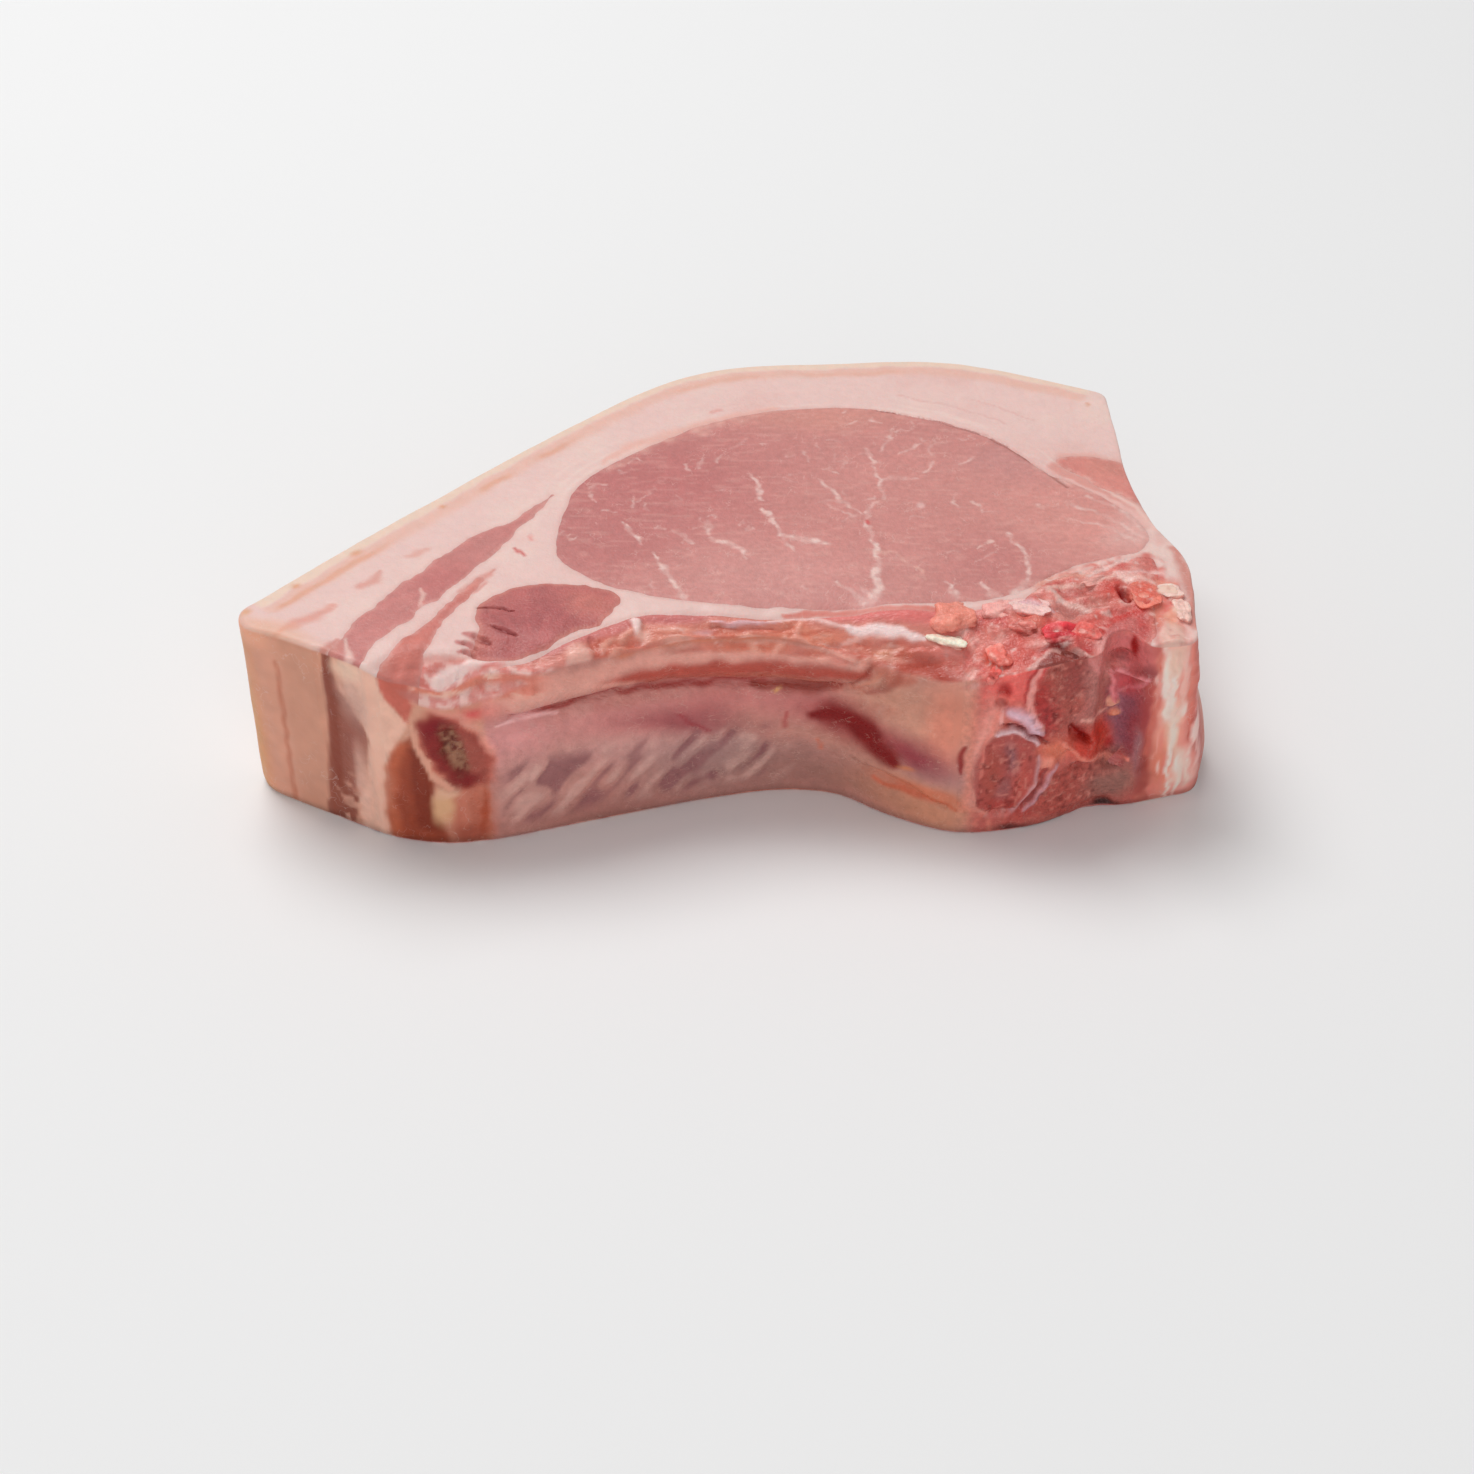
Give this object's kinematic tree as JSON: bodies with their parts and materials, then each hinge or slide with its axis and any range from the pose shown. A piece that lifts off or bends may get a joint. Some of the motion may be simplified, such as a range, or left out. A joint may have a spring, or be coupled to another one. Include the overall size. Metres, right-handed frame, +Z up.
{
  "type": "raw pork chop",
  "caption": "Raw bone-in pork loin chop, cut thick, with its rind and back fat, round eye muscle, belly streaks, rib and sawn backbone.",
  "frame": {"origin": "middle of the chop's bounding box, on the surface that it lies on", "axes": "+X from the belly end to the backbone, +Y from the rib side to the rind, +Z up through the thickness"},
  "size_m": [0.1678, 0.1019, 0.0374],
  "materials": {
    "fat": "raw pork fat and rind, matt to satin",
    "eye_lean": "raw lean pork, moist",
    "streak_lean": "raw lean pork, moist",
    "dark_lean": "raw dark pork, moist",
    "rib_meat": "rib lining and meat between the ribs, wet",
    "backbone_meat": "scraps of meat and blood at the backbone, wet",
    "bone": "sawn porous bone, moist"
  },
  "bodies": {
    "root": {"back_fat": "fat", "loin_eye": "eye_lean", "cap_streak": "streak_lean", "belly_streak": "streak_lean", "deep_muscle": "dark_lean", "edge_lean": "streak_lean", "rib_meat": "rib_meat", "chine_meat": "backbone_meat", "rib_bone": "bone", "chine_bone": "bone"}
  },
  "joints": []
}
